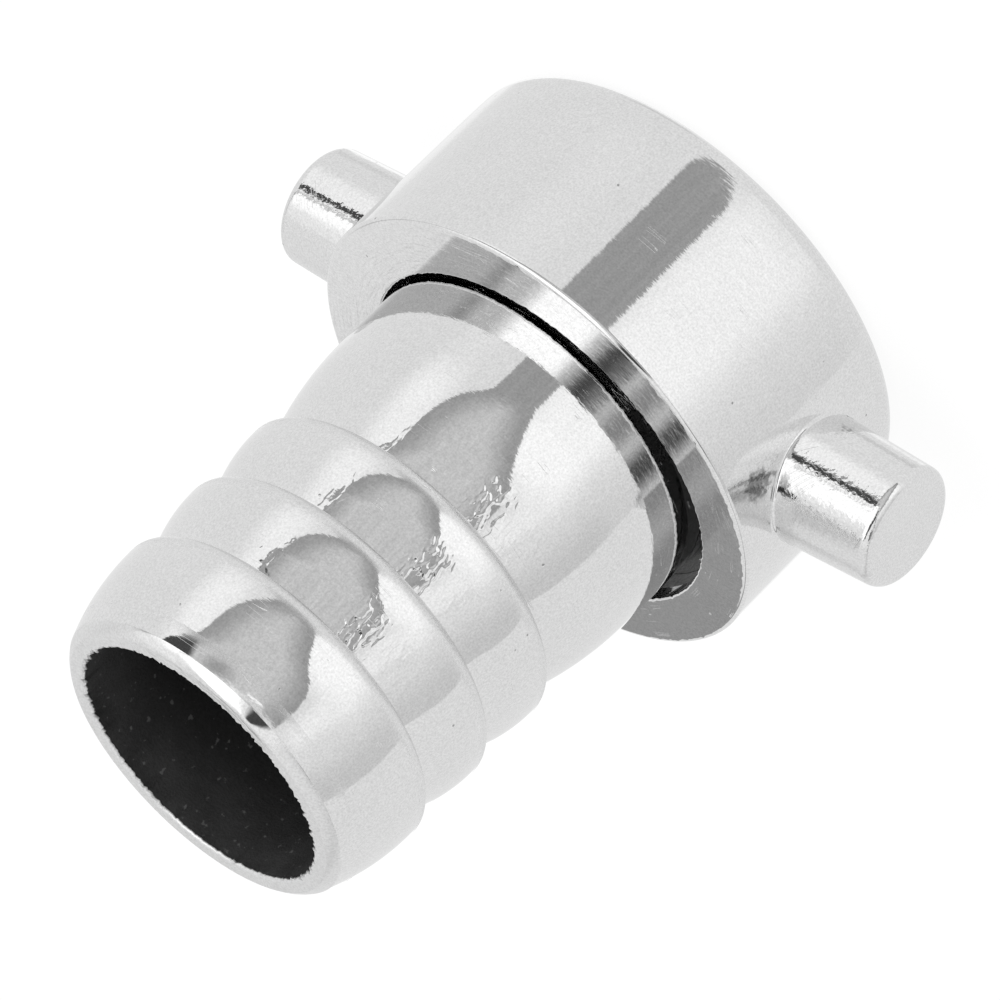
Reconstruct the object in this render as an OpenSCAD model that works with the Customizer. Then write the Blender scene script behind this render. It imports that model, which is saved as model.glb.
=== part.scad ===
// Lugged hose coupling: a barbed hose tail held in a swivel nut by its flange, with a flat sealing
// washer under the flange. Millimetres, +Z up. The origin is the centre of the nut's open mouth, the
// nut stands on its mouth, the tail points up and the two lugs lie along X.

/* [Swivel nut] */
// Outside diameter of the nut
nut_d = 47; // [46:0.1:52]
// Height of the nut from its mouth to its rear face
nut_h = 20.8; // [20:0.1:26]
// Thickness of the rear wall that holds the flange
rear_wall = 3.4; // [2.5:0.1:4]
// Diameter of the hole that the tail comes out of
rear_bore_d = 36; // [35.6:0.1:37]
// Rounding of the outer edge at the mouth
mouth_round = 1.8; // [0.4:0.1:1.8]
// Bevel of the outer edge at the rear face
rear_bevel = 0.35; // [0.1:0.05:0.6]

/* [Thread] */
// Minor diameter of the 1 1/4 inch parallel pipe thread
thread_minor_d = 38.952; // [38.7:0.001:39.2]
// Major diameter of the same thread
thread_major_d = 41.91; // [41.5:0.01:42.3]
// Height at which the thread ends inside the nut
thread_end = 12.6; // [11:0.1:12.7]

/* [Lugs] */
// Distance from the nut's axis to the end of a lug
lug_reach = 33.3; // [29:0.1:38]
// Diameter of a lug at the nut's wall
lug_root_d = 11.9; // [8:0.1:14]
// Diameter of a lug at its end, a little smaller because of the casting draft
lug_tip_d = 11.3; // [8:0.1:14]
// Height of the lugs' axis above the mouth
lug_z = 11; // [9:0.1:12]
// Rounding of a lug's end
lug_round = 0.9; // [0.2:0.1:2]

/* [Hose tail] */
// Diameter of the water way
bore_d = 25.4; // [20:0.1:26]
// Diameter of the neck, inside the nut and just outside it
neck_d = 34.1; // [32:0.1:35]
// Length of the straight neck outside the nut
neck_len = 6.5; // [3:0.1:8]
// Diameter of the barbs at their crests
crest_d = 33.3; // [32.5:0.1:34]
// Diameter at the foot of each barb
root_d = 30.4; // [29:0.1:31]
// Diameter at the hose end, before its edge is rounded
nose_d = 29.8; // [29:0.1:30.4]
// Number of barbs
barb_count = 3; // [1:1:5]
// Distance from the nut's rear face to the back of the first barb
first_barb = 17.2; // [14:0.1:24]
// Distance from one barb to the next
barb_pitch = 7.8; // [6:0.05:11]
// Length of the last barb, from its back to the hose end
nose_len = 10.5; // [8:0.1:14]
// Rounding of each barb's back, up to its crest
back_round = 1.3; // [0.4:0.1:1.4]
// Rounding of the hose end's outer edge
nose_round = 0.6; // [0.3:0.1:0.9]

/* [Flange and washer] */
// Diameter of the tail's flange
flange_d = 38.3; // [37.6:0.1:38.4]
// Thickness of the flange
flange_t = 2.6; // [2:0.1:2.7]
// Fillet where the neck meets the flange
flange_fillet = 0.7; // [0.3:0.1:1]
// Outside diameter of the sealing washer
washer_d = 38.5; // [37.6:0.1:38.5]
// Hole in the sealing washer
washer_hole_d = 27; // [26:0.1:32]
// Thickness of the sealing washer
washer_t = 2; // [1.5:0.1:2]

/* [Smoothness] */
// Number of sides of each full circle
circle_sides = 144; // [48:24:240]
// Number of steps in each barb's curve
curve_steps = 14; // [8:2:24]

/* [Hidden] */
$fn = circle_sides;

// Gap between faces that lie on one another
face_gap = 0.05;
// Seat behind the thread, a little wider than the thread's minor diameter
seat_d = thread_minor_d + 0.5;
// Bevel on small turned edges
edge = 0.3;
// Steps in each small rounding
round_steps = 6;
// Straight stretch between a barb's rounded back and its ramp
ramp_start = 0.05;
// How far a lug reaches into the nut's wall
lug_root_in = 2;

nut_r = nut_d / 2;
shoulder_z = nut_h - rear_wall;
flange_top = shoulder_z - face_gap;
flange_base = flange_top - flange_t;
washer_top = flange_base - face_gap;
barb_z = [for (i = [0 : barb_count - 1]) nut_h + first_barb + i * barb_pitch];
hose_end_z = barb_z[barb_count - 1] + nose_len;

// Each point is [radius, height]

// Quarter circle about a centre, from one angle to another
function quarter(centre_r, centre_z, radius, from, to) =
    [for (i = [0 : round_steps])
        let (a = from + (to - from) * i / round_steps)
        [centre_r + radius * cos(a), centre_z + radius * sin(a)]];

// Curve that leaves [r0, z0] parallel to the axis and falls to r1 at z1, as part of one circle. The
// end point is left to the shape that follows.
function falling_arc(r0, z0, r1, z1) =
    let (length = z1 - z0, drop = r0 - r1, bend = (length * length + drop * drop) / (2 * drop))
    [for (i = [0 : curve_steps - 1])
        let (s = length * i / curve_steps)
        [r0 - bend + sqrt(bend * bend - s * s), z0 + s]];

// One barb: a short step, a well rounded back up to the crest, then a convex ramp down to end_r at end_z
function barb(z, end_r, end_z) =
    concat(
        [[root_d / 2, z]],
        quarter(crest_d / 2 - back_round, z + back_round, back_round, -90, 0),
        falling_arc(crest_d / 2, z + back_round + ramp_start, end_r, end_z)
    );

// Section of the tail, from the flange's sealing face up the outside to the hose end
function tail_outside() =
    let (flange_r = flange_d / 2)
    concat(
        [[bore_d / 2 + edge, flange_base], [flange_r - edge, flange_base]],
        [[flange_r, flange_base + edge], [flange_r, flange_top - edge]],
        [[flange_r - edge, flange_top]],
        quarter(neck_d / 2 + flange_fillet, flange_top + flange_fillet, flange_fillet, 270, 180),
        falling_arc(neck_d / 2, nut_h + neck_len, root_d / 2, barb_z[0]),
        [for (i = [0 : 1 : barb_count - 2]) each barb(barb_z[i], root_d / 2, barb_z[i + 1])],
        barb(barb_z[barb_count - 1], nose_d / 2, hose_end_z - nose_round),
        quarter(nose_d / 2 - nose_round, hose_end_z - nose_round, nose_round, 0, 90)
    );

module hose_tail() {
    color("silver")
        rotate_extrude()
            polygon(concat(
                tail_outside(),
                [[bore_d / 2 + edge, hose_end_z], [bore_d / 2, hose_end_z - edge]],
                [[bore_d / 2, flange_base + edge]]
            ));
}

// Ring of the nut, with its lead-in, thread bore, washer seat, shoulder and rear hole
module nut_ring() {
    thread_r = thread_minor_d / 2;
    lead_r = thread_major_d / 2;
    rear_r = rear_bore_d / 2;
    rotate_extrude()
        polygon(concat(
            [[lead_r, 0]],
            quarter(nut_r - mouth_round, mouth_round, mouth_round, -90, 0),
            [[nut_r, nut_h - rear_bevel], [nut_r - rear_bevel, nut_h]],
            [[rear_r + edge, nut_h], [rear_r, nut_h - edge]],
            [[rear_r, shoulder_z], [seat_d / 2, shoulder_z]],
            [[seat_d / 2, thread_end], [thread_r, thread_end], [thread_r, lead_r - thread_r]]
        ));
}

// One lug: a plain round stub with a slight draft and a rounded end, along +X
module lug() {
    root_x = nut_r - lug_root_in;
    draft = (lug_root_d - lug_tip_d) / 2 / (lug_reach - nut_r);
    translate([0, 0, lug_z])
        rotate([0, 90, 0])
            rotate_extrude()
                polygon(concat(
                    [[0, root_x], [lug_root_d / 2 + draft * lug_root_in, root_x]],
                    quarter(lug_tip_d / 2 - lug_round, lug_reach - lug_round, lug_round, 0, 90),
                    [[0, lug_reach]]
                ));
}

module swivel_nut() {
    color("lightgray")
        union() {
            nut_ring();
            for (turn = [0, 180])
                rotate([0, 0, turn])
                    lug();
        }
}

module sealing_washer() {
    color("dimgray")
        translate([0, 0, washer_top - washer_t])
            difference() {
                cylinder(h = washer_t, d = washer_d);
                translate([0, 0, -1])
                    cylinder(h = washer_t + 2, d = washer_hole_d);
            }
}

hose_tail();
swivel_nut();
sealing_washer();
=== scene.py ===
# Looks of the lugged hose coupling: plated swivel nut, plated hose tail, rubber washer, a plain
# white studio and the camera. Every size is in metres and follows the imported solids.

from math import asin, atan, atan2, cos, degrees, hypot, pi, radians, sin, sqrt, tan

import bpy
from bpy.props import FloatProperty, FloatVectorProperty, PointerProperty
from mathutils import Matrix, Vector


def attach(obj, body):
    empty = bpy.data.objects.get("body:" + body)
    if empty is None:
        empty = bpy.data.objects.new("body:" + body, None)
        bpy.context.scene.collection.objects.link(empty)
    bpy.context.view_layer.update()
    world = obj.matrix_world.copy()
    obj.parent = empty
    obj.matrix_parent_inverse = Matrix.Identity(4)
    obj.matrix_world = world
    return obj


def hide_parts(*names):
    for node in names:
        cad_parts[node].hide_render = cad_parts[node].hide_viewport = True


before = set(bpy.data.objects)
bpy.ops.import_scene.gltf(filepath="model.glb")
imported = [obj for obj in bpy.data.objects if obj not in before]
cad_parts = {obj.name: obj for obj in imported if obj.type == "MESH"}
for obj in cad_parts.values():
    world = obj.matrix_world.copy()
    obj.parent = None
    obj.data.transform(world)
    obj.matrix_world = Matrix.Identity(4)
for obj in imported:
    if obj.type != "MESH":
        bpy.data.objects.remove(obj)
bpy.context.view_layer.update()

bl_info = {
    "name": "Lugged Hose Coupling",
    "version": (1, 0, 0),
    "blender": (4, 5, 0),
    "location": "View3D > Sidebar > Coupling",
    "description": "Plated swivel nut and barbed hose tail with a rubber washer, in a white studio",
    "category": "Object",
}

MM = 0.001


def length(name, description, default):
    """A size in metres."""
    return FloatProperty(
        name=name, description=description, default=default,
        precision=5, unit="LENGTH", subtype="DISTANCE",
    )


def angle(name, description, default):
    """An angle, given in degrees."""
    return FloatProperty(
        name=name, description=description, default=radians(default), subtype="ANGLE",
    )


def level(name, description, default):
    """A brightness, where 1 is white."""
    return FloatProperty(name=name, description=description, default=default)


def colour(name, description, default):
    """A linear colour."""
    return FloatVectorProperty(
        name=name, description=description, default=default,
        size=3, min=0.0, max=1.0, subtype="COLOR",
    )


class NutSettings(bpy.types.PropertyGroup):
    """Sizes of the swivel nut and its lugs."""

    diameter: length("Diameter", "Outside diameter of the nut", 0.047)
    height: length("Height", "From the mouth to the rear face", 0.0208)
    rear_hole: length("Rear Hole", "Diameter of the hole round the neck", 0.036)
    hole_off: length("Hole Offset", "How far the rear hole is cut off the nut's centre", 0.0006)
    hole_off_angle: angle("Hole Offset Direction", "Direction in which it is off centre", -18)
    shoulder: length("Shoulder", "Height of the shoulder that holds the flange", 0.0174)
    seat: length("Seat", "Diameter of the washer's seat behind the thread", 0.039452)
    mouth_round: length("Mouth Rounding", "Rounding of the outer edge at the mouth", 0.0018)
    worn_top: length("Worn Top", "Height at which the wall starts to lean in", 0.0047)
    worn_lean: angle("Worn Lean", "Lean of the wall where the mouth's rounding starts", 2)
    rear_round: length("Rear Rounding", "Rounding of the outer edge at the rear face", 0.00045)
    edge: length("Edge Rounding", "Rounding of the rear hole's edge", 0.0002)
    rough_edge: length("Rough Edge", "Unevenness of the rear hole's edge", 0.00012)
    plated_wall: length("Plated Wall", "How far the plate reaches into the rear hole", 0.0016)
    thread_minor: length("Thread Minor", "Minor diameter of the pipe thread", 0.038952)
    thread_major: length("Thread Major", "Major diameter of the pipe thread", 0.04191)
    thread_pitch: length("Thread Pitch", "Height of one turn of the thread", 0.002309)
    thread_end: length("Thread End", "Height at which the thread runs out", 0.0126)
    lug_reach: length("Lug Reach", "From the axis to a lug's end", 0.0333)
    lug_root: length("Lug Root", "Diameter of a lug at the wall", 0.0119)
    lug_tip: length("Lug Tip", "Diameter of a lug at its end", 0.0113)
    lug_height: length("Lug Height", "Height of the lugs' axis above the mouth", 0.011)
    lug_round: length("Lug Rounding", "Rounding of a lug's end", 0.0009)
    lug_fillet: length("Lug Fillet", "Fillet where a lug meets the wall", 0.00035)


class TailSettings(bpy.types.PropertyGroup):
    """Sizes of the hose tail."""

    bore: length("Bore", "Diameter of the water way", 0.0254)
    neck: length("Neck", "Diameter of the neck", 0.0341)
    neck_end: length("Neck End", "Height at which the neck starts to fall", 0.0273)
    crest: length("Crest", "Diameter of the barbs", 0.0333)
    root: length("Root", "Diameter at the foot of each barb", 0.0304)
    nose: length("Nose", "Diameter at the hose end, before its edge is rounded", 0.0298)
    first_barb: length("First Barb", "Height of the first barb's back", 0.038)
    pitch: length("Barb Pitch", "From one barb to the next", 0.0078)
    back_round: length("Back Rounding", "Rounding of each barb's back", 0.0013)
    ramp_start: length("Crest Land", "Straight stretch on each crest", 0.00005)
    steepest: angle("Steepest Slope", "Steepest slope of the first two barbs' ramps", 18.5)
    end: length("Hose End", "Height of the hose end", 0.0641)
    end_drop: length("End Drop", "From the hose end down to where the last ramp aims", 0.0006)
    end_bevel: length("End Bevel", "Height of the slightly round bevel at the hose end", 0.000875)
    bevel_start: angle("Bevel Start", "Slope of that bevel at the ramp", 33)
    bevel_end: angle("Bevel End", "Slope of that bevel at the hose end", 56)
    end_round: length("End Rounding", "Small rounding between the bevel and the end face", 0.00012)
    edge: length("Edge Bevel", "Bevel of the bore and the flange", 0.0003)
    rough_edge: length("Rough Edge", "Unevenness of the bore's edge", 0.0003)
    flange: length("Flange", "Diameter of the flange", 0.0383)
    flange_base: length("Flange Base", "Height of the flange's sealing face", 0.01475)
    flange_top: length("Flange Top", "Height of the flange's upper face", 0.01735)
    flange_fillet: length("Flange Fillet", "Fillet between the flange and the neck", 0.0007)


class WasherSettings(bpy.types.PropertyGroup):
    """Sizes and colour of the sealing washer."""

    diameter: length("Diameter", "Outside diameter", 0.0385)
    hole: length("Hole", "Diameter of the hole", 0.027)
    base: length("Base", "Height of the lower face", 0.0127)
    top: length("Top", "Height of the upper face", 0.0147)
    edge: length("Edge Rounding", "Rounding of the edges", 0.00035)
    rubber: colour("Rubber", "Colour of the rubber", (0.018, 0.018, 0.019))
    bloom: colour("Bloom", "Colour of the rubber where it has a bloom of dust", (0.04, 0.04, 0.038))


class StageSettings(bpy.types.PropertyGroup):
    """Camera, floor and light."""

    tent_level: level("Tent Level", "Brightness of the tent's plain wall", 0.87)
    opening_edge: level("Opening Edge", "Brightness at the edge of the tent's opening", 0.38)
    opening_middle: level("Opening Middle", "Brightness in the middle of the opening", 0.68)
    floor_size: length("Floor Size", "Side of the floor", 8.0)
    floor_shade: colour("Floor Shade", "How strongly the floor shows shadow", (0.2, 0.2, 0.2))
    floor_glow: level("Floor Glow", "The floor's own light, which makes it white", 0.86)
    camera_azimuth: angle("Camera Azimuth", "Direction of the camera round the axis", 56.826)
    camera_elevation: angle("Camera Elevation", "Angle of the camera above the mouth's plane", 24.921)
    camera_roll: angle("Camera Roll", "Turn of the camera about its line of sight", 134.713)
    camera_distance: length("Camera Distance", "From the camera to its aim", 0.59632)
    camera_lens: FloatProperty(
        name="Lens", description="Focal length on a 36 mm sensor", default=252.0, unit="CAMERA",
    )
    camera_aim: FloatVectorProperty(
        name="Aim", description="Point in the middle of the picture",
        default=(0.001695, -0.001108, 0.02736), size=3, subtype="TRANSLATION",
    )


class Skin:
    """Points, faces, corner normals and finishes of a mesh as it grows."""

    def __init__(self):
        self.points = []
        self.faces = []
        self.normals = []
        self.finishes = []

    def ring(self, points):
        """Adds a ring of points and returns their numbers."""
        start = len(self.points)
        self.points.extend(points)
        return list(range(start, start + len(points)))

    def face(self, corners, normals, finish):
        """Adds one face with the normal of each corner."""
        self.faces.append(corners)
        self.normals.extend(normals)
        self.finishes.append(finish)

    def join(self, low, low_normals, high, high_normals, finish, skip=()):
        """Adds the band of faces between two rings of the same count."""
        count = len(low)
        for i in range(count):
            if i in skip:
                continue
            j = (i + 1) % count
            corners = (low[i], low[j], high[j], high[i])
            normals = (low_normals[i], low_normals[j], high_normals[j], high_normals[i])
            self.face(corners, normals, finish)

    def bands(self, low, low_normals, rings, finish):
        """Adds rings, given as places and normals, and joins each to the one before. Returns the last
        ring and its normals."""
        for places, normals in rings:
            ring = self.ring(places)
            self.join(low, low_normals, ring, normals, finish)
            low = ring
            low_normals = normals
        return low, low_normals

    def cap(self, ring, middle, normal, finish):
        """Closes a ring with a fan of triangles."""
        centre = self.ring([middle])[0]
        for i in range(len(ring)):
            self.face((ring[i], ring[(i + 1) % len(ring)], centre), (normal,) * 3, finish)

    def build(self, name, materials):
        """Makes the object, with its exact normals."""
        mesh = bpy.data.meshes.new(name)
        mesh.from_pydata(self.points, [], self.faces)
        for material in materials:
            mesh.materials.append(material)
        mesh.polygons.foreach_set("material_index", self.finishes)
        mesh.polygons.foreach_set("use_smooth", [True] * len(self.faces))
        mesh.update()
        mesh.normals_split_custom_set(self.normals)
        piece = bpy.data.objects.new(name, mesh)
        bpy.context.scene.collection.objects.link(piece)
        return piece


def run(start, end, steps=1):
    """Straight stretch of a section as (radius, height, normal radius, normal height) points. The
    outside of the metal is to the right of the way it runs."""
    dr = end[0] - start[0]
    dz = end[1] - start[1]
    size = hypot(dr, dz)
    normal = (dz / size, -dr / size)
    return [(start[0] + dr * i / steps, start[1] + dz * i / steps, *normal) for i in range(steps + 1)]


def runs(corners, steps, finish):
    """Straight strips from corner to corner, with the steps of each."""
    return [(run(start, end, count), finish) for start, end, count in zip(corners, corners[1:], steps)]


def bend(centre_r, centre_z, radius, start, end, steps):
    """Arc of a section between two angles in degrees: rising angles bulge outwards, falling ones
    inwards."""
    side = 1.0 if end > start else -1.0
    points = []
    for i in range(steps + 1):
        a = radians(start + (end - start) * i / steps)
        out_r = cos(a)
        out_z = sin(a)
        points.append((centre_r + radius * out_r, centre_z + radius * out_z, side * out_r, side * out_z))
    return points


def ramp(r0, z0, r1, z1, steps, steepest=90):
    """Arc that leaves (r0, z0) parallel to the axis and falls to r1 at z1. Where it would grow
    steeper than an angle in degrees, it goes on as a cone."""
    rise = z1 - z0
    drop = r0 - r1
    radius = (rise * rise + drop * drop) / (2 * drop)
    end = degrees(asin(rise / radius))
    if end <= steepest:
        return bend(r0 - radius, z0, radius, 0, end, steps)
    slope = radians(steepest)
    radius = (rise * tan(slope) - drop) / (1 / cos(slope) - 1)
    arc = bend(r0 - radius, z0, radius, 0, steepest, steps)
    cone = run(arc[-1][:2], (r1, z1), 4)
    return arc + cone[1:]


# Waves of a hand-dressed edge: how many go round, and how high each is
RAGGED_WAVES = ((31, 0.5), (67, 0.8), (101, 0.8), (149, 0.8), (173, 0.5))


def ragged(a, seed):
    """Unevenness of a hand-dressed edge at an angle round the axis, mostly between -1 and 1."""
    slow = 0.6 + 0.4 * sin(5 * a + seed) * sin(3 * a + 2 * seed)
    return slow * sum(size * sin(count * a + seed * (3 + count)) for count, size in RAGGED_WAVES) / 2


def turn_ring(point, columns):
    """The ring of a section's point round the axis, and its normals."""
    r, z, nr, nz = point
    places = []
    normals = []
    for i in range(columns):
        a = 2 * pi * i / columns
        places.append((r * cos(a), r * sin(a), z))
        normals.append((nr * cos(a), nr * sin(a), nz))
    return places, normals


def turn(skin, strips, columns, first=None):
    """Turns strips of a section into bands of faces. Each strip is (points, finish), and the strips
    follow one another. Returns the first and the last ring."""
    last = first
    for points, finish in strips:
        places, normals = turn_ring(points[0], columns)
        if last is None:
            first = last = skin.ring(places)
        rings = [turn_ring(point, columns) for point in points[1:]]
        last, _ = skin.bands(last, normals, rings, finish)
    return first, last


def close(skin, last, first, points, columns, finish):
    """Turns the strip that joins the last ring back to the first."""
    _, normals = turn_ring(points[0], columns)
    rings = [turn_ring(point, columns) for point in points[1:-1]]
    last, normals = skin.bands(last, normals, rings, finish)
    _, end_normals = turn_ring(points[-1], columns)
    skin.join(last, normals, first, end_normals, finish)


# Finishes, in the order of a piece's materials: plate and bare inside, or rubber
PLATE = 0
INSIDE = 1
RUBBER = 0
# Faces round the nut, and on each side of a lug's middle in the patch of wall that carries it
NUT_COLUMNS = 384
NUT_WINDOW = 22
WINDOW_STEP = 0.375 * MM
THREAD_ROWS = 90
# Faces round the tail and the washer
TAIL_COLUMNS = 360
WASHER_COLUMNS = 144
# Places closer than this are the same
TOUCHING = 0.001 * MM
# How much rougher the rear face's outer edge is than the rear hole's
OUTER_EDGE_ROUGHER = 1.6
# Where the waves of the ragged edges start
NUT_RAGGED_SEED = 1.3
TAIL_RAGGED_SEED = 0.7


def thread_radius(nut, a, z):
    """Radius of the thread's surface, which runs out at the seat and is chamfered at the mouth."""
    minor = nut.thread_minor / 2
    major = nut.thread_major / 2
    phase = z / nut.thread_pitch - a / (2 * pi)
    fade = min(1.0, max(0.0, (nut.thread_end - z) / (0.8 * nut.thread_pitch)))
    depth = (major - minor) * fade * fade * (3 - 2 * fade)
    return max(minor + depth * (0.5 - 0.5 * cos(2 * pi * phase)), major - z)


def thread_ring(nut, z):
    """Ring of the thread at one height, with its normals."""
    step = 0.02 * MM
    places = []
    normals = []
    for i in range(NUT_COLUMNS):
        a = 2 * pi * i / NUT_COLUMNS
        r = thread_radius(nut, a, z)
        slope = (thread_radius(nut, a, z + step) - thread_radius(nut, a, z - step)) / (2 * step)
        places.append((r * cos(a), r * sin(a), z))
        normals.append(Vector((-cos(a), -sin(a), slope)).normalized())
    return places, normals


def wall_ring(nut, z):
    """Section point of the nut's wall at one height. Polishing has worn the wall a little towards
    the mouth."""
    bend_radius = (nut.worn_top - nut.mouth_round) / sin(nut.worn_lean)
    low = max(0.0, nut.worn_top - z) / bend_radius
    lean = asin(low)
    return nut.diameter / 2 - bend_radius * (1 - cos(lean)), z, cos(lean), -low


def wall_normal(nut, point):
    """The wall's normal at a point on it."""
    _, _, nr, nz = wall_ring(nut, point[2])
    r = hypot(point[0], point[1])
    return Vector((nr * point[0] / r, nr * point[1] / r, nz))


def lug_rings(nut, side, angles):
    """Rings of one lug from the wall's surface to its end, each as places and normals. side is 1 for
    the lug along +X and -1 for the other."""
    wall = nut.diameter / 2
    root = nut.lug_root / 2
    tip = nut.lug_tip / 2
    slope = (root - tip) / (nut.lug_reach - nut.lug_round - wall)
    lean = atan(slope)
    fillet = nut.lug_fillet

    def place(x, rho, a):
        return (side * x, side * rho * cos(a), nut.lug_height + rho * sin(a))

    def facing(nx, nrho, a):
        return Vector((side * nx, side * nrho * cos(a), nrho * sin(a))).normalized()

    feet = []
    for a in angles:
        foot = root + fillet
        # Each pass brings the fillet's foot closer to where it touches the wall
        for _ in range(8):
            x = sqrt(wall * wall - (foot * cos(a)) ** 2)
            steep = foot * cos(a) ** 2 / x
            size = hypot(steep, 1)
            centre_x = x + fillet / size
            touch = centre_x - fillet * sin(lean)
            centre_rho = root - slope * (touch - wall) + fillet * cos(lean)
            foot = centre_rho - fillet * steep / size
        feet.append((centre_x, centre_rho, atan2(-1, -steep), touch))
    rings = []
    steps = 8
    for k in range(steps + 1):
        t = k / steps
        places = []
        normals = []
        for a, (centre_x, centre_rho, start, _) in zip(angles, feet):
            turned = start + (-pi + lean - start) * t
            x = centre_x + fillet * sin(turned)
            rho = centre_rho + fillet * cos(turned)
            y = rho * cos(a)
            on_wall = Vector((side * sqrt(wall * wall - y * y), side * y, 0)).normalized()
            on_lug = facing(sin(lean), cos(lean), a)
            wall_share = sin((1 - t) * pi / 2)
            lug_share = sin(t * pi / 2)
            places.append(place(x, rho, a))
            normals.append((on_wall * wall_share + on_lug * lug_share).normalized())
        rings.append((places, normals))
    end = nut.lug_reach - nut.lug_round
    steps = 14
    for k in range(1, steps + 1):
        places = []
        for a, (*_, touch) in zip(angles, feet):
            x = touch + (end - touch) * k / steps
            places.append(place(x, root - slope * (x - wall), a))
        rings.append((places, [facing(sin(lean), cos(lean), a) for a in angles]))
    steps = 10
    for k in range(1, steps + 1):
        b = lean + (pi / 2 - lean) * k / steps
        x = end + nut.lug_round * sin(b)
        rho = tip - nut.lug_round + nut.lug_round * cos(b)
        normals = [facing(sin(b), cos(b), a) for a in angles]
        rings.append(([place(x, rho, a) for a in angles], normals))
    flat = tip - nut.lug_round
    steps = 6
    normals = [Vector((side, 0, 0))] * len(angles)
    for k in range(1, steps):
        rho = flat * (1 - k / steps)
        rings.append(([place(nut.lug_reach, rho, a) for a in angles], normals))
    return rings


def nut_window(nut, skin, rows, side):
    """One lug with the patch of wall round it. rows are the wall's rings inside the window."""
    middle = 0 if side > 0 else NUT_COLUMNS // 2
    span = range(-NUT_WINDOW, NUT_WINDOW)
    top = len(rows) - 1

    def column(i):
        return (middle + i) % NUT_COLUMNS

    edge = [rows[0][column(i)] for i in span]
    edge += [rows[k][column(NUT_WINDOW)] for k in range(top)]
    edge += [rows[top][column(-i)] for i in span]
    edge += [rows[top - k][column(-NUT_WINDOW)] for k in range(top)]
    outer = [skin.points[p] for p in edge]
    angles = [atan2(p[2] - nut.lug_height, side * p[1]) for p in outer]
    on_lug = lug_rings(nut, side, angles)
    inner = on_lug[0][0]
    on_wall = []
    steps = 6
    for k in range(1, steps):
        t = k / steps
        places = []
        for p, q in zip(outer, inner):
            y = p[1] + (q[1] - p[1]) * t
            z = p[2] + (q[2] - p[2]) * t
            places.append((side * sqrt(wall_ring(nut, z)[0] ** 2 - y * y), y, z))
        on_wall.append((places, [wall_normal(nut, p) for p in places]))
    last, _ = skin.bands(edge, [wall_normal(nut, p) for p in outer], on_wall + on_lug, PLATE)
    skin.cap(last, (side * nut.lug_reach, 0, nut.lug_height), Vector((side, 0, 0)), PLATE)


def off_centre(nut, point):
    """Moves a point of the rear wall with the rear hole, which is cut a little off the nut's centre
    and has an uneven edge."""
    x, y, z = point
    rear = nut.rear_hole / 2
    r = hypot(x, y)
    on_hole_edge = z > nut.height - 2 * nut.edge and r < rear + 1.01 * nut.edge
    on_outer_edge = z > nut.height - TOUCHING and r > nut.diameter / 2 - 1.01 * nut.rear_round
    if on_hole_edge or on_outer_edge:
        rougher = OUTER_EDGE_ROUGHER if on_outer_edge else 1
        rough = nut.rough_edge * ragged(atan2(y, x), NUT_RAGGED_SEED) * rougher
        x += rough * x / r
        y += rough * y / r
    low = z <= nut.shoulder + TOUCHING
    outer = nut.seat / 2 if low else nut.diameter / 2 - nut.rear_round
    inner = rear if low else rear + nut.edge
    share = min(1.0, max(0.0, (outer - hypot(x, y)) / (outer - inner)))
    if z < nut.shoulder - TOUCHING:
        share = 0
    off = nut.hole_off * share
    return (x + off * cos(nut.hole_off_angle), y + off * sin(nut.hole_off_angle), z)


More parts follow.
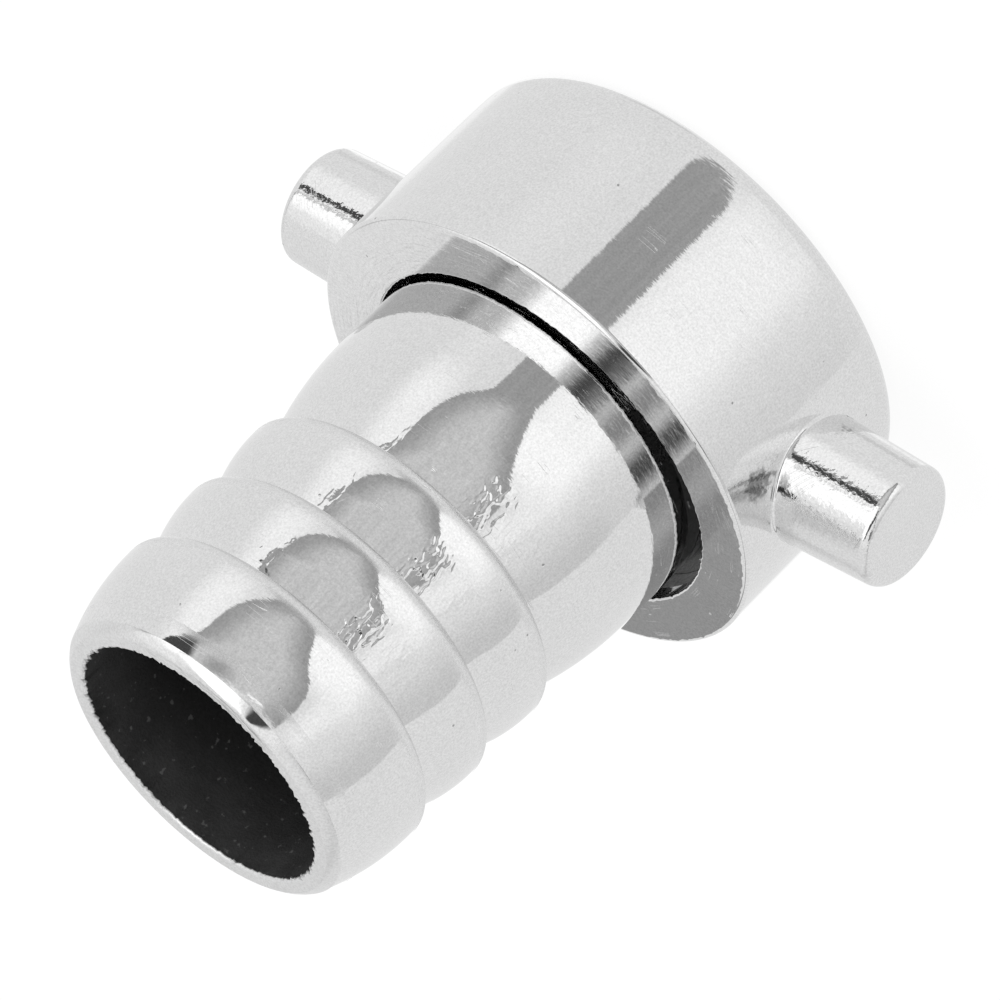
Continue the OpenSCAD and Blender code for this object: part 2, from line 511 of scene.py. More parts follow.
def nut_skin(nut):
    """The whole nut, with its lugs and thread."""
    skin = Skin()
    wall = nut.diameter / 2
    rear = nut.rear_hole / 2
    seat = nut.seat / 2
    mouth = nut.thread_major / 2
    rounded = nut.rear_round
    lean = nut.worn_lean
    rounding = nut.mouth_round / (1 - sin(lean))
    rounding_r = wall_ring(nut, nut.mouth_round)[0] - rounding * cos(lean)
    below = [
        (run((mouth, 0), (rounding_r, 0)), PLATE),
        (bend(rounding_r, rounding, rounding, -90, -degrees(lean), 12), PLATE),
    ]
    first, low = turn(skin, below, NUT_COLUMNS)
    cells = 2 * NUT_WINDOW
    window_low = nut.lug_height - WINDOW_STEP * NUT_WINDOW
    heights = [window_low + WINDOW_STEP * k for k in range(cells + 1)] + [nut.height - rounded]
    _, around = turn_ring(wall_ring(nut, nut.mouth_round), NUT_COLUMNS)
    window = range(-NUT_WINDOW, NUT_WINDOW)
    open_columns = {(middle + i) % NUT_COLUMNS for middle in (0, NUT_COLUMNS // 2) for i in window}
    rows = []
    for k, z in enumerate(heights):
        places, next_around = turn_ring(wall_ring(nut, z), NUT_COLUMNS)
        ring = skin.ring(places)
        inside = 0 < k <= cells
        skin.join(low, around, ring, next_around, PLATE, open_columns if inside else ())
        around = next_around
        if k <= cells:
            rows.append(ring)
        low = ring
    nut_window(nut, skin, rows, 1)
    nut_window(nut, skin, rows, -1)
    hole = [(rear, nut.height - nut.plated_wall), (rear, nut.shoulder), (seat, nut.shoulder)]
    hole += [(seat, nut.thread_end), (nut.thread_minor / 2, nut.thread_end)]
    above = [
        (bend(wall - rounded, nut.height - rounded, rounded, 0, 90, 6), PLATE),
        (run((wall - rounded, nut.height), (rear + nut.edge, nut.height), 8), PLATE),
        (bend(rear + nut.edge, nut.height - nut.edge, nut.edge, 90, 180, 5), PLATE),
        (run((rear, nut.height - nut.edge), hole[0], 3), PLATE),
        *runs(hole, (3, 2, 4, 1), INSIDE),
    ]
    before = len(skin.points)
    _, low = turn(skin, above, NUT_COLUMNS, low)
    skin.points[before:] = [off_centre(nut, point) for point in skin.points[before:]]
    _, normals = thread_ring(nut, nut.thread_end)
    down = [nut.thread_end * (1 - k / THREAD_ROWS) for k in range(1, THREAD_ROWS)]
    low, normals = skin.bands(low, normals, [thread_ring(nut, z) for z in down], INSIDE)
    _, end_normals = thread_ring(nut, 0)
    skin.join(low, normals, first, end_normals, INSIDE)
    return skin


def tail_skin(tail):
    """The whole hose tail."""
    skin = Skin()
    bore = tail.bore / 2
    flange = tail.flange / 2
    neck = tail.neck / 2
    crest = tail.crest / 2
    root = tail.root / 2
    nose = tail.nose / 2
    base = tail.flange_base
    top = tail.flange_top
    edge = tail.edge
    fillet = tail.flange_fillet
    rim = [(bore + edge, base), (flange - edge, base), (flange, base + edge)]
    rim += [(flange, top - edge), (flange - edge, top)]
    backs = [tail.first_barb + tail.pitch * i for i in range(3)]
    last_start = backs[2] + tail.back_round + tail.ramp_start
    rise = tail.end - tail.end_drop - last_start
    drop = crest - nose
    curve = (rise * rise + drop * drop) / (2 * drop)
    rim_z = tail.end - tail.end_bevel
    rim_r = crest - curve + sqrt(curve * curve - (rim_z - last_start) ** 2)
    start, end = tail.bevel_start, tail.bevel_end
    slopes = (degrees(start), degrees(end))
    bevel_height = tail.end_bevel - tail.end_round * (1 - sin(end))
    bevel = bevel_height / (sin(end) - sin(start))
    bevel_r = rim_r - bevel * cos(start)
    bevel_z = rim_z - bevel * sin(start)
    end_r = bevel_r + (bevel - tail.end_round) * cos(end)
    end_bend = tail.end - tail.end_round
    ends = [(root, backs[1]), (root, backs[2]), (rim_r, rim_z)]
    strips = [
        *runs(rim, (4, 1, 2, 1), INSIDE),
        (run(rim[-1], (neck + fillet, top), 2), PLATE),
        (bend(neck + fillet, top + fillet, fillet, 270, 180, 8), PLATE),
        (run((neck, top + fillet), (neck, tail.neck_end), 10), PLATE),
        (ramp(neck, tail.neck_end, root, backs[0], 36), PLATE),
    ]
    back = tail.back_round
    for z, foot in zip(backs, ends):
        land = z + back + tail.ramp_start
        steepest = 90 if z == backs[2] else degrees(tail.steepest)
        strips += [
            (run((root, z), (crest - back, z)), PLATE),
            (bend(crest - back, z + back, back, -90, 0, 16), PLATE),
            (run((crest, z + back), (crest, land)), PLATE),
            (ramp(crest, land, *foot, 30, steepest), PLATE),
        ]
    strips += [
        (bend(bevel_r, bevel_z, bevel, *slopes, 10), PLATE),
        (bend(end_r, end_bend, tail.end_round, slopes[1], 90, 4), PLATE),
        (run((end_r, tail.end), (bore + edge, tail.end), 3), PLATE),
        (bend(bore + edge, tail.end - edge, edge, 90, 180, 6), PLATE),
    ]
    first, last = turn(skin, strips, TAIL_COLUMNS)
    for i, (x, y, z) in enumerate(skin.points):
        r = hypot(x, y)
        near = min((bore + 4 * edge - r) / (3 * edge), (z - tail.end + 3 * edge) / edge, 1)
        if near > 0:
            grow = near * tail.rough_edge * ragged(atan2(y, x), TAIL_RAGGED_SEED) / r
            skin.points[i] = (x * (1 + grow), y * (1 + grow), z)
    water_way = run((bore, tail.end - edge), (bore, base + edge), 24)
    _, last = turn(skin, [(water_way, INSIDE)], TAIL_COLUMNS, last)
    lead_in = run((bore, base + edge), (bore + edge, base))
    close(skin, last, first, lead_in, TAIL_COLUMNS, INSIDE)
    return skin


def washer_skin(washer):
    """The sealing washer with rounded edges."""
    skin = Skin()
    outer = washer.diameter / 2
    inner = washer.hole / 2
    e = washer.edge
    strips = [
        (run((inner + e, washer.base), (outer - e, washer.base), 4), RUBBER),
        (bend(outer - e, washer.base + e, e, -90, 0, 6), RUBBER),
        (run((outer, washer.base + e), (outer, washer.top - e)), RUBBER),
        (bend(outer - e, washer.top - e, e, 0, 90, 6), RUBBER),
        (run((outer - e, washer.top), (inner + e, washer.top), 4), RUBBER),
        (bend(inner + e, washer.top - e, e, 90, 180, 6), RUBBER),
        (run((inner, washer.top - e), (inner, washer.base + e)), RUBBER),
    ]
    first, last = turn(skin, strips, WASHER_COLUMNS)
    close(skin, last, first, bend(inner + e, washer.base + e, e, 180, 270, 6), WASHER_COLUMNS, RUBBER)
    return skin


class Graph:
    """Adds and joins the nodes of one tree."""

    def __init__(self, tree):
        self.tree = tree

    def add(self, kind, inputs=(), **values):
        """A node of a kind. inputs are pairs of a socket and what it gets, values are properties."""
        node = self.tree.nodes.new(kind)
        for name, value in values.items():
            setattr(node, name, value)
        for key, value in inputs:
            self.put(node, key, value)
        return node

    def put(self, node, key, value):
        """Joins a socket to one input, or sets the input to a value."""
        if isinstance(value, bpy.types.NodeSocket):
            self.tree.links.new(value, node.inputs[key])
        else:
            node.inputs[key].default_value = value

    def math(self, operation, *values):
        """A Math node's result."""
        return self.add("ShaderNodeMath", enumerate(values), operation=operation).outputs[0]

    def less(self, first, second):
        """The first number less the second."""
        return self.math("SUBTRACT", first, second)

    def times(self, first, second):
        """Two numbers multiplied."""
        return self.math("MULTIPLY", first, second)

    def times_plus(self, first, second, third):
        """The first two numbers multiplied, and the third added."""
        return self.math("MULTIPLY_ADD", first, second, third)

    def off(self, value, middle):
        """How far a number is from a middle."""
        return self.math("ABSOLUTE", self.less(value, middle))

    def place(self):
        """The place on the piece, in metres."""
        return self.add("ShaderNodeTexCoord").outputs["Object"]

    def millimetres(self, place):
        """A place in millimetres instead of metres."""
        inputs = ((0, place), ("Scale", 1 / MM))
        return self.add("ShaderNodeVectorMath", inputs, operation="SCALE").outputs[0]

    def distance(self, place, middle):
        """How far a place is from another."""
        inputs = ((0, place), (1, middle))
        return self.add("ShaderNodeVectorMath", inputs, operation="DISTANCE").outputs["Value"]

    def split(self, value):
        """The three parts of a vector."""
        node = self.add("ShaderNodeSeparateXYZ", ((0, value),))
        return node.outputs[0], node.outputs[1], node.outputs[2]

    def join(self, x, y, z):
        """A vector of three parts."""
        return self.add("ShaderNodeCombineXYZ", enumerate((x, y, z))).outputs[0]

    def noise(self, place, scale, detail):
        """Noise between 0 and 1."""
        inputs = (("Vector", place), ("Scale", scale), ("Detail", detail))
        return self.add("ShaderNodeTexNoise", inputs).outputs[0]

    def rise(self, value, low, high, kind):
        """A number as its share of the way from low to high."""
        inputs = (("Value", value), ("From Min", low), ("From Max", high))
        return self.add("ShaderNodeMapRange", inputs, interpolation_type=kind).outputs["Result"]

    def soft_step(self, value, low, high):
        """0 below low and 1 above high, with a smooth rise between them."""
        return self.rise(value, low, high, "SMOOTHSTEP")

    def mix(self, share, first, second):
        """Blends two numbers."""
        inputs = ((0, share), (2, first), (3, second))
        return self.add("ShaderNodeMix", inputs, data_type="FLOAT").outputs[0]

    def curve(self, value, low, high, points):
        """A smooth curve through points (value, result), both given in plain units."""
        results = [point[1] for point in points]
        floor = min(results)
        span = max(results) - floor
        node = self.add("ShaderNodeFloatCurve")
        line = node.mapping.curves[0]
        for _ in range(len(points) - 2):
            line.points.new(0.5, 0.5)
        for spot, (x, y) in zip(line.points, points):
            spot.location = ((x - low) / (high - low), (y - floor) / span)
        node.mapping.update()
        self.put(node, "Value", self.rise(value, low, high, "LINEAR"))
        return self.times_plus(node.outputs[0], span, floor)


# Heights of the marks in the plate, in millimetres
PEEL_HEIGHT = 0.0045
WAVE_HEIGHT = 0.004
LINE_HEIGHT = 0.004
PEBBLE_HEIGHT = 0.026
WORM_HEIGHT = 0.045
SCRATCH_HEIGHT = -0.02
# How many of them lie along a millimetre
PEEL_SCALE = 0.55
PEBBLE_SCALE = 1.9
GRAIN_SCALE = 5.5
STAIN_SCALE = 0.16
FEW_SCALE = 0.35
PIT_SCALE = 0.55
# Length round the axis and width of the marks that run round it, in millimetres
WAVE_SIZE = (2.6, 0.9)
LINE_SIZE = (1.1, 0.28)
SCRATCH_SIZE = (14.0, 0.6)
# Length and width of the short slanted marks, in millimetres
WORM_SIZE = (1.5, 0.85)
# Radius at which the marks have their stated length, in millimetres
MARKS_RADIUS = 18
# The plate's shade, what fine grain and stains change in it, and the shares that pits and the darkening
# for tarnishing and painted shade take
PLATE_SHADE = 0.615
GRAIN_SHADE = 0.34
STAIN_SHADE = 0.04
PIT_SHADE = -0.55
TARNISH_AND_SHADE_DARKENING = -0.6
# The plate's roughness, what stains add to it, and what a dull place adds
PLATE_ROUGHNESS = 0.03
STAIN_ROUGHNESS = 0.03
DULL_ROUGHNESS = 0.3


def plate_surface():
    """Node group with the plate's colour, roughness and height in millimetres, from the place on the
    piece. Marks run round the axis. Rough raises the short slanted marks of poor polishing, Pebbled
    is for hand-polished metal, and the last input darkens it for tarnishing and as painted shade. It
    is built once for all plated pieces."""
    tree = bpy.data.node_groups.get("polished_plate")
    if tree:
        return tree
    tree = bpy.data.node_groups.new("polished_plate", "ShaderNodeTree")
    for way, kind, names in (
        ("INPUT", "Vector", ("Place",)),
        ("INPUT", "Float", ("Dull", "Rough", "Pebbled", "Tarnish and Shade")),
        ("OUTPUT", "Color", ("Colour",)),
        ("OUTPUT", "Float", ("Roughness", "Height")),
    ):
        for name in names:
            tree.interface.new_socket(name, in_out=way, socket_type="NodeSocket" + kind)
    graph = Graph(tree)
    inputs = graph.add("NodeGroupInput").outputs
    place = graph.millimetres(inputs["Place"])
    x, y, z = graph.split(place)
    squares = graph.math("ADD", graph.times(x, x), graph.times(y, y))
    r = graph.math("MAXIMUM", graph.math("SQRT", squares), 0.1)
    along = graph.math("ADD", z, r)
    turn_x = graph.math("DIVIDE", x, r)
    turn_y = graph.math("DIVIDE", y, r)

    def marks(size, detail=2.0):
        """Noise whose marks have a length round the axis and a width, in millimetres."""
        circle = MARKS_RADIUS / size[0]
        across = graph.math("DIVIDE", along, size[1])
        spot = graph.join(graph.times(turn_x, circle), graph.times(turn_y, circle), across)
        return graph.noise(spot, 1.0, detail)

    peel = graph.noise(place, PEEL_SCALE, 1.0)
    waves = marks(WAVE_SIZE, 1.0)
    lines = marks(LINE_SIZE)
    arc = graph.times(graph.math("ARCTAN2", y, x), r)
    slanted = graph.math("DIVIDE", graph.less(arc, along), WORM_SIZE[0])
    crossing = graph.math("DIVIDE", graph.math("ADD", arc, along), WORM_SIZE[1])
    worms = graph.noise(graph.join(slanted, crossing, 0.0), 1.0, 1.0)
    pebbles = graph.noise(place, PEBBLE_SCALE, 2.0)
    grain = graph.noise(place, GRAIN_SCALE, 1.0)
    stain = graph.noise(place, STAIN_SCALE, 3.0)
    scratch = graph.soft_step(graph.off(marks(SCRATCH_SIZE, 1.0), 0.5), 0.004, 0.001)
    few = graph.soft_step(graph.noise(place, FEW_SCALE, 1.0), 0.62, 0.66)
    scratch = graph.times(scratch, few)
    cells = graph.add("ShaderNodeTexVoronoi", (("Vector", place), ("Scale", PIT_SCALE)))
    chosen = graph.soft_step(graph.split(cells.outputs["Color"])[0], 0.86, 0.87)
    pit = graph.times(graph.soft_step(cells.outputs["Distance"], 0.09, 0.04), chosen)
    height = graph.times(peel, PEEL_HEIGHT)
    height = graph.times_plus(waves, WAVE_HEIGHT, height)
    turned = graph.times(lines, graph.less(1.0, inputs["Pebbled"]))
    height = graph.times_plus(turned, LINE_HEIGHT, height)
    height = graph.times_plus(graph.times(pebbles, inputs["Pebbled"]), PEBBLE_HEIGHT, height)
    worm_ridge = graph.times(graph.soft_step(worms, 0.46, 0.66), inputs["Rough"])
    height = graph.times_plus(worm_ridge, WORM_HEIGHT, height)
    height = graph.times_plus(graph.math("MAXIMUM", scratch, pit), SCRATCH_HEIGHT, height)
    shade = graph.times_plus(grain, GRAIN_SHADE, PLATE_SHADE)
    shade = graph.times_plus(stain, STAIN_SHADE, graph.less(shade, STAIN_SHADE / 2))
    # Darkening for tarnishing and painted shade: a painted dark reflection on the wall by a lug's foot
    tarnish_and_shade_share = graph.soft_step(graph.times_plus(pebbles, 0.8, inputs["Tarnish and Shade"]), 0.7, 1.0)
    shade = graph.times(shade, graph.times_plus(pit, PIT_SHADE, 1.0))
    shade = graph.times(shade, graph.times_plus(tarnish_and_shade_share, TARNISH_AND_SHADE_DARKENING, 1.0))
    roughness = graph.times_plus(stain, STAIN_ROUGHNESS, PLATE_ROUGHNESS)
    roughness = graph.times_plus(inputs["Dull"], DULL_ROUGHNESS, roughness)
    colour = graph.join(shade, shade, shade)
    graph.add("NodeGroupOutput", (("Colour", colour), ("Roughness", roughness), ("Height", height)))
    return tree


def new_material(name):
    """A material, the graph of its nodes and its shader."""
    material = bpy.data.materials.new(name)
    material.use_nodes = True
    return material, Graph(material.node_tree), material.node_tree.nodes["Principled BSDF"]


def bumped(graph, shader, height):
    """Gives the shader a bump from a height in millimetres."""
    bump = graph.add("ShaderNodeBump", (("Distance", MM), ("Height", height)))
    graph.put(shader, "Normal", bump.outputs["Normal"])


def plate_material(name, surface, zones):
    """Bright plate. zones gives the shares of the surface's inputs from the place on the piece."""
    material, graph, shader = new_material(name)
    shader.inputs["Metallic"].default_value = 1.0
    place = graph.place()
    plate = graph.add("ShaderNodeGroup", node_tree=surface)
    for key, value in (("Place", place), *zones(graph, place).items()):
        graph.put(plate, key, value)
    graph.put(shader, "Base Color", plate.outputs["Colour"])
    graph.put(shader, "Roughness", plate.outputs["Roughness"])
    bumped(graph, shader, plate.outputs["Height"])
    return material


# Poorly polished stretches of the barbs, in degrees round the axis: middle, half width, share
POORLY_POLISHED = ((50.5, 7.5, 1.0), (36, 10, 0.2), (88, 6, 0.16))
# Bright stretch of the hose end's lip, in degrees: its middle, and how far off the lip grows dull
BRIGHT_LIP = 75
LIP_DULL_FROM = 27
LIP_DULL_FULL = 35


def tail_zones(graph, place, tail):
    """Dull on the barbs' backs and the lip, rough towards the foot of each ramp but the last."""
    x, y, height = graph.split(place)
    angle_round = graph.math("DEGREES", graph.math("ARCTAN2", y, x))
    start = tail.first_barb
    pitch = tail.pitch
    end = tail.end
    step = graph.math("FRACT", graph.math("DIVIDE", graph.less(height, start - 2 * pitch), pitch))
    back = tail.back_round / pitch
    on_back = graph.soft_step(step, back * 1.5, back * 0.8)
    on_barbs = graph.soft_step(height, start - 0.2 * MM, start)
    below_nose = graph.soft_step(height, end - 1.5 * MM, end - 3.5 * MM)
    dull = graph.times(on_back, graph.times(on_barbs, below_nose))
    past_neck = graph.soft_step(height, start - 5.5 * MM, start - 4 * MM)
    before_last = graph.soft_step(height, start + 2.1 * pitch, start + 2 * pitch)
    foot = graph.times(graph.soft_step(step, 0.35, 0.55), past_neck)
    foot = graph.times(foot, before_last)
    rough = 0.0
    for middle, half, share in POORLY_POLISHED:
        stretch = graph.soft_step(graph.off(angle_round, middle), half, half * 0.5)
        rough = graph.times_plus(stretch, share, rough)
    on_lip = graph.soft_step(height, end - 0.95 * MM, end - 0.8 * MM)
    dull_part = graph.soft_step(graph.off(angle_round, BRIGHT_LIP), LIP_DULL_FROM, LIP_DULL_FULL)
    lip = graph.times(on_lip, dull_part)
    return {"Dull": graph.math("MAXIMUM", dull, lip), "Rough": graph.times(foot, rough)}


# Places on the nut by a lug that are darkened, in millimetres: middle, reach, strength. They stand for
# tarnishing where the polishing wheel hardly reached, and partly for painted shade: a painted dark
# reflection on the wall by the lug's foot
TARNISH_AND_SHADE_SPOTS = (
    ((22.9, 5.3, 17.4), 3.0, 0.6),
    ((25.3, 5.5, 8.3), 1.7, 0.42),
)


def nut_zones(graph, place):
    """Pebbled on the lugs, which are polished by hand, dull on top of them, and darkened in places for
    tarnishing and as painted shade.
    """
    x, _, z = graph.split(place)
    on_lug = graph.soft_step(graph.math("ABSOLUTE", x), 23.6 * MM, 24.4 * MM)
    on_top = graph.times(on_lug, graph.soft_step(z, 15.6 * MM, 16.2 * MM))
    tarnish_and_shade = 0.0
    for middle, reach, strength in TARNISH_AND_SHADE_SPOTS:
        apart = graph.distance(place, tuple(value * MM for value in middle))
        spot = graph.soft_step(apart, reach * MM, 0.15 * reach * MM)
        tarnish_and_shade = graph.times_plus(spot, strength, tarnish_and_shade)
    return {"Pebbled": on_lug, "Dull": graph.times(on_top, 0.8), "Tarnish and Shade": tarnish_and_shade}


# Place in the gap where the nut's inside wall is painted lighter, in millimetres: painted light that
# stands for the hole's wall catching light
LIT_SPOT_IN_GAP = (12.9, -13.9, 18.6)
# Shades of the bare cast metal inside each piece, and what grain, patches of painted light near the
# hose end, specks and the painted light spot in the gap add
# The nut's cast metal is paler than the tail's, as painted light in the gap round the neck
NUT_INSIDE_LIT_SHADE = 0.08
TAIL_INSIDE_SHADE = 0.0
INSIDE_GRAIN = 0.026
INSIDE_LIT_PATCHES = 0.055
INSIDE_SPECKS = 0.09
INSIDE_PAINTED_LIGHT = 0.6


def inside_material(name, paleness):
    """The dark, rough cast metal that the plate doesn't reach, with painted light near the hose end and
    in the nut's gap.
    """
    material, graph, shader = new_material(name)
    shader.inputs["Roughness"].default_value = 0.6
    place = graph.millimetres(graph.place())
    grain = graph.noise(place, 4.0, 3.0)
    patches = graph.noise(place, 0.25, 3.0)
    specks = graph.soft_step(graph.noise(place, 1.6, 2.0), 0.66, 0.72)
    # Painted light: the bore's wall grows lighter in patches towards the hose end and stays darker
    # deeper in
    lit_near_end = graph.soft_step(graph.split(place)[2], 54, 63)
    shade = graph.times_plus(grain, INSIDE_GRAIN, paleness)
    shade = graph.times_plus(graph.times(patches, lit_near_end), INSIDE_LIT_PATCHES, shade)
    shade = graph.times_plus(specks, INSIDE_SPECKS, shade)
    # Painted light: a lighter, grainy spot on the nut's inside wall in the gap
    painted_light_spot = graph.times(graph.soft_step(graph.distance(place, LIT_SPOT_IN_GAP), 4.5, 2.0), grain)
    shade = graph.times_plus(painted_light_spot, INSIDE_PAINTED_LIGHT, shade)
    graph.put(shader, "Base Color", graph.join(shade, shade, shade))
    bumped(graph, shader, graph.times_plus(patches, 0.3, graph.times(grain, 0.06)))
    return material


def rubber_material(washer):
    """Matt black rubber with a bloom of dust."""
    material, graph, shader = new_material("black_rubber")
    place = graph.millimetres(graph.place())
    grain = graph.noise(place, 6.0, 2.0)
    bloom = graph.noise(place, 0.3, 3.0)
    inputs = ((0, graph.soft_step(bloom, 0.35, 0.75)), (6, (*washer.rubber, 1)), (7, (*washer.bloom, 1)))
    graph.put(shader, "Base Color", graph.add("ShaderNodeMix", inputs, data_type="RGBA").outputs[2])
    graph.put(shader, "Roughness", graph.times_plus(bloom, 0.25, 0.45))
    bumped(graph, shader, graph.times(grain, 0.02))
    return material


# Panels of the light tent, in degrees as (azimuth from the camera, elevation): middle, half size and
# softness, then brightness
TENT_PANELS = (
    ("left table", (-76, 0), (20, 26), (14, 12), 0.68),
    ("left side", (-130, 0), (54, 95), (0.6, 5), 0.86),
    ("left glare", (-14, -17), (24, 13), (12, 8), 1.17),
    ("left strip", (-30, 4), (7, 14), (5, 8), 1.04),
    ("right glare", (62, 4), (12, 26), (9, 10), 1.08),
    ("left end", (-172, -20), (6, 6), (3, 4), 1.15),
    ("right end", (161, -42), (8, 14), (5, 8), 1.15),
    ("top", (-20, 62), (50, 30), (20, 10), 0.97),
    ("top lamp", (44, 54), (32, 27), (6, 5), 1.5),
    ("right wall", (92, 42), (20, 18), (8, 6), 0.99),
    ("right lamp", (68, 32), (18, 14), (10, 6), 1.3),
    ("table edge", (117, -64), (12, 9), (8, 6), 0.72),
    ("camera stand", (-8, 54), (10, 28), (4, 3), 0.07),
    ("dark stand's head", (-54, 35), (12, 5), (5, 3), 0.12),
    ("camera's left side", (-130, 25), (54, 2.6), (1, 1.5), 0.34),
    ("camera's back", (182, 25), (3.2, 2.6), (1.2, 1.5), 0.34),
    ("camera's left wall", (-102, 25), (12, 2.6), (10, 1.5), 0.5),
    ("dark stand", (-60, 25), (10, 2.6), (8, 1.5), 0.09),
    ("behind the stand", (-32, 25), (10, 2.6), (9, 1.5), 0.33),
    ("camera", (-1, 25), (9, 2.6), (9, 1.5), 0.08),
    ("camera's right wall", (119, 25), (42, 2.6), (12, 1.5), 0.58),
    ("right curtain", (70, 25), (12, 2.6), (9, 1.5), 0.68),
    ("dark curtain", (86, 25), (6, 2.6), (7, 1.5), 0.4),
    ("lamp by the camera", (35, 25), (19, 2.6), (5, 1.5), 1.6),
)
# Panels seen through the opening, in the same form
OPENING_PANELS = (
    ("shade beside the lamp", (34, 17.5), (9, 3), (8, 2), 0.4),
    ("dark corner", (67, 14.6), (14, 3.7), (3, 1), 0.07),
    ("lamp tube", (3, 18.8), (6, 0.8), (2, 0.5), 1.2),
)
# Edges of the tent's dark opening, in degrees: (elevation, azimuth)
OPENING_LEFT = (
    (-32.4, 25), (-31.6, 19), (-30.8, 15.5), (-29.5, 12), (-28, 10),
    (-24, 7), (-15, 1), (-8, -5), (0, -15), (10, -18), (20.5, -18),
)
OPENING_RIGHT = (
    (-32.4, 27), (-31.6, 32), (-30.8, 34), (-29.5, 35.5), (-28, 35),
    (-24, 34), (-15, 45), (-8, 50.5), (0, 53), (6, 55.5), (9.5, 62), (13, 73.5), (20.5, 83),
)
OPENING_TOP = 20.5
OPENING_SOFTNESS = 0.6
# The room behind the opening grows lighter this far from its edges, in degrees
ROOM_LIGHTER = 24
# Its light is mottled by this much, in marks of this scale
ROOM_MOTTLE = 0.4
ROOM_MOTTLE_SCALE = 24.0


def tent_world(stage):
    """The white tent that the metal mirrors. The camera itself sees plain white."""
    world = bpy.data.worlds.new("light_tent")
    world.use_nodes = True
    tree = world.node_tree
    graph = Graph(tree)
    direction = graph.add("ShaderNodeTexCoord").outputs["Generated"]
    inputs = (("Vector", direction), ("Angle", -stage.camera_azimuth))
    turned = graph.add("ShaderNodeVectorRotate", inputs, rotation_type="Z_AXIS").outputs[0]
    x, y, z = graph.split(turned)
    azimuth = graph.math("DEGREES", graph.math("ARCTAN2", y, x))
    elevation = graph.math("DEGREES", graph.math("ARCSINE", z))

    def hang(light, panels):
        """Lays panels over a light."""
        for _, (a, e), (half_a, half_e), (soft_a, soft_e), brightness in panels:
            across = graph.soft_step(graph.off(azimuth, a), half_a + soft_a, half_a - soft_a)
            along = graph.soft_step(graph.off(elevation, e), half_e + soft_e, half_e - soft_e)
            light = graph.mix(graph.times(across, along), light, brightness)
        return light

    light = hang(stage.tent_level, TENT_PANELS)
    bottom = OPENING_LEFT[0][0]
    left = graph.curve(elevation, bottom, OPENING_TOP, OPENING_LEFT)
    right = graph.curve(elevation, bottom, OPENING_TOP, OPENING_RIGHT)
    inside = graph.math("MINIMUM", graph.less(azimuth, left), graph.less(right, azimuth))
    ends = graph.math("MINIMUM", graph.less(elevation, bottom), graph.less(OPENING_TOP, elevation))
    nearest = graph.math("MINIMUM", inside, ends)
    opening = graph.soft_step(nearest, -OPENING_SOFTNESS, OPENING_SOFTNESS)
    lighter = graph.soft_step(inside, 0, ROOM_LIGHTER)
    middle = graph.times(lighter, graph.soft_step(elevation, -26, -17))
    mottle = graph.noise(turned, ROOM_MOTTLE_SCALE, 2.0)
    room = graph.mix(middle, stage.opening_edge, stage.opening_middle)
    room = graph.times(room, graph.times_plus(mottle, ROOM_MOTTLE, 1 - ROOM_MOTTLE / 2))
    light = graph.mix(opening, light, hang(room, OPENING_PANELS))
    light = graph.mix(graph.add("ShaderNodeLightPath").outputs["Is Camera Ray"], light, 1.0)
    graph.put(tree.nodes["Background"], "Strength", light)
    tree.nodes["Background"].inputs["Color"].default_value = (1, 1, 1, 1)
    return world


def lay_floor(stage):
    """A large white floor under the nut. The metal mirrors the tent and not the floor."""
    mesh = bpy.data.meshes.new("floor")
    half = stage.floor_size / 2
    corners = [(-half, -half, 0), (half, -half, 0), (half, half, 0), (-half, half, 0)]
    mesh.from_pydata(corners, [], [(0, 1, 2, 3)])
    floor = bpy.data.objects.new("floor", mesh)
    bpy.context.scene.collection.objects.link(floor)
    material, _, shader = new_material("white_floor")
    for key, value in (
        ("Base Color", (*stage.floor_shade, 1)),
        ("Roughness", 1),
        ("Specular IOR Level", 0),
        ("Emission Color", (1, 1, 1, 1)),
        ("Emission Strength", stage.floor_glow),
    ):
        shader.inputs[key].default_value = value
    mesh.materials.append(material)
    floor.visible_glossy = False
    floor.visible_diffuse = False


class COUPLING_OT_nut(bpy.types.Operator):
    """Build the plated swivel nut"""

    bl_idname = "coupling.nut"
    bl_label = "Swivel Nut"

    def execute(self, context):
        plate = plate_material("nut_plate", plate_surface(), nut_zones)
        inside = inside_material("nut_inside", NUT_INSIDE_LIT_SHADE)
        piece = nut_skin(context.scene.coupling_nut).build("plated_nut", [plate, inside])
        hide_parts("swivel_nut")
        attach(piece, "nut")
        return {"FINISHED"}


class COUPLING_OT_tail(bpy.types.Operator):
    """Build the plated hose tail"""

    bl_idname = "coupling.tail"
    bl_label = "Hose Tail"

    def execute(self, context):
        tail = context.scene.coupling_tail

        def zones(graph, place):
            return tail_zones(graph, place, tail)

        plate = plate_material("tail_plate", plate_surface(), zones)
        inside = inside_material("tail_inside", TAIL_INSIDE_SHADE)
        piece = tail_skin(tail).build("plated_tail", [plate, inside])
        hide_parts("hose_tail")
        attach(piece, "tail")
        return {"FINISHED"}


class COUPLING_OT_washer(bpy.types.Operator):
    """Build the rubber sealing washer"""

    bl_idname = "coupling.washer"
    bl_label = "Sealing Washer"

    def execute(self, context):
        washer = context.scene.coupling_washer
        piece = washer_skin(washer).build("rubber_washer", [rubber_material(washer)])
        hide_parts("sealing_washer")
        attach(piece, "washer")
        return {"FINISHED"}


class COUPLING_OT_stage(bpy.types.Operator):
    """Set up the camera, the floor and the light"""

    bl_idname = "coupling.stage"
    bl_label = "Studio and Camera"

    def execute(self, context):
        stage = context.scene.coupling_stage
        place_camera(context.scene, stage)
        context.scene.world = tent_world(stage)
        lay_floor(stage)
        context.scene.view_settings.view_transform = "Standard"
        return {"FINISHED"}


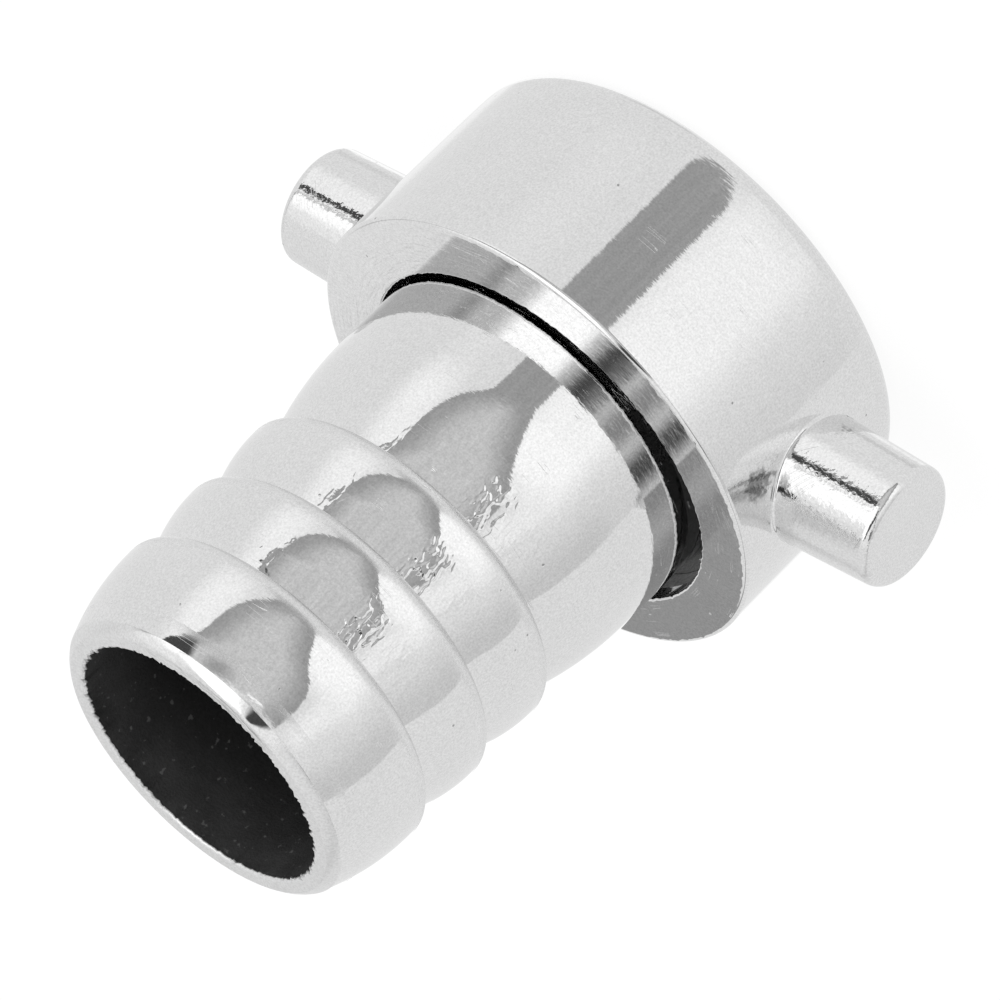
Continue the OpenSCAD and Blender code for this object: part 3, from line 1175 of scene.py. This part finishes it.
def place_camera(scene, stage):
    """The camera at the photograph's viewing angle."""
    a = stage.camera_azimuth
    e = stage.camera_elevation
    back = Vector((cos(a) * cos(e), sin(a) * cos(e), sin(e)))
    camera = bpy.data.objects.new("camera", bpy.data.cameras.new("camera"))
    camera.data.lens = stage.camera_lens
    camera.data.sensor_width = 36
    camera.data.clip_start = 0.01
    camera.data.clip_end = 20
    scene.collection.objects.link(camera)
    turn_to = back.to_track_quat("Z", "Y").to_matrix().to_4x4()
    roll = Matrix.Rotation(-stage.camera_roll, 4, "Z")
    place = Vector(stage.camera_aim) + back * stage.camera_distance
    camera.matrix_world = Matrix.Translation(place) @ turn_to @ roll
    scene.camera = camera


class COUPLING_PT_panel(bpy.types.Panel):
    """Lists the coupling's pieces"""

    bl_idname = "COUPLING_PT_panel"
    bl_label = "Hose Coupling"
    bl_space_type = "VIEW_3D"
    bl_region_type = "UI"
    bl_category = "Coupling"

    def draw(self, context):
        for group, _, operator in PIECES:
            settings = getattr(context.scene, group)
            box = self.layout.box()
            box.operator(operator.bl_idname)
            for name in settings.bl_rna.properties.keys():
                if name not in ("rna_type", "name"):
                    box.prop(settings, name)


PIECES = (
    ("coupling_nut", NutSettings, COUPLING_OT_nut),
    ("coupling_tail", TailSettings, COUPLING_OT_tail),
    ("coupling_washer", WasherSettings, COUPLING_OT_washer),
    ("coupling_stage", StageSettings, COUPLING_OT_stage),
)


def register():
    for group, settings, operator in PIECES:
        bpy.utils.register_class(settings)
        bpy.utils.register_class(operator)
        setattr(bpy.types.Scene, group, PointerProperty(type=settings))
    bpy.utils.register_class(COUPLING_PT_panel)


def unregister():
    bpy.utils.unregister_class(COUPLING_PT_panel)
    for group, settings, operator in reversed(PIECES):
        delattr(bpy.types.Scene, group)
        bpy.utils.unregister_class(operator)
        bpy.utils.unregister_class(settings)


def main():
    register()
    bpy.ops.coupling.nut()
    bpy.ops.coupling.tail()
    bpy.ops.coupling.washer()
    bpy.ops.coupling.stage()


if __name__ == "__main__":
    main()
